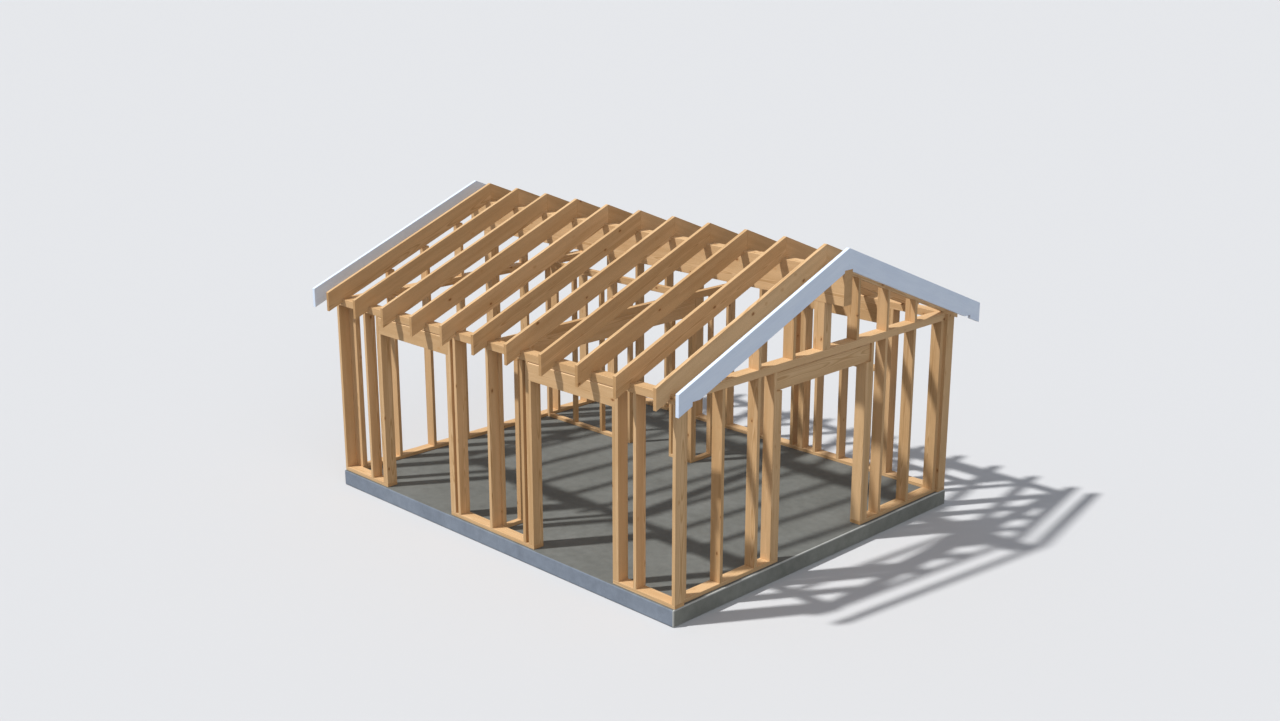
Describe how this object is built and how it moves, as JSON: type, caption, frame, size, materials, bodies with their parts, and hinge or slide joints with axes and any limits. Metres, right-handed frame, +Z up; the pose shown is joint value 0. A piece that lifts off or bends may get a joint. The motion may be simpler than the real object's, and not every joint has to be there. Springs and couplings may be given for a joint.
{
  "type": "timber building frame",
  "caption": "Open timber frame of a small gabled building: stud walls with door and window openings, two partitions, rafters on a ridge beam, and painted barge boards, on a concrete slab.",
  "frame": {"origin": "middle of the slab's underside", "axes": "+X along the long walls towards the gable with the wide door, +Y from the front wall with two doors to the back wall, +Z up"},
  "size_m": [6.44, 5.35, 3.7224],
  "materials": {
    "timber": "sawn and planed softwood, unfinished",
    "barge_paint": "painted pale blue-white, satin",
    "concrete": "cast concrete, matte"
  },
  "bodies": {
    "root": {"back_bottom_plate": "timber", "back_cripple_studs": "timber", "back_king_studs": "timber", "back_lintel": "timber", "back_sill": "timber", "back_studs": "timber", "back_top_plate": "timber", "back_trimmer_studs": "timber", "barge_board_left_back": "barge_paint", "barge_board_left_front": "barge_paint", "barge_board_right_back": "barge_paint", "barge_board_right_front": "barge_paint", "concrete_slab": "concrete", "cross_wall_beam": "timber", "cross_wall_bottom_plates": "timber", "cross_wall_studs": "timber", "cross_wall_top_plate": "timber", "cross_wall_trimmer_studs": "timber", "front_bottom_plates": "timber", "front_king_studs": "timber", "front_lintels": "timber", "front_studs": "timber", "front_top_plate": "timber", "front_trimmer_studs": "timber", "left_bottom_plate": "timber", "left_centre_post": "timber", "left_end_studs": "timber", "left_gable_studs": "timber", "left_ridge_post": "timber", "left_studs": "timber", "left_top_plate": "timber", "rafters_back": "timber", "rafters_front": "timber", "ridge_beam": "timber", "right_bottom_plates": "timber", "right_end_studs": "timber", "right_gable_studs": "timber", "right_king_studs": "timber", "right_lintel": "timber", "right_ridge_post": "timber", "right_studs": "timber", "right_top_plate": "timber", "right_trimmer_studs_inner": "timber", "right_trimmer_studs_outer": "timber", "room_wall_bottom_plates": "timber", "room_wall_studs": "timber", "room_wall_top_plate": "timber"}
  },
  "joints": []
}
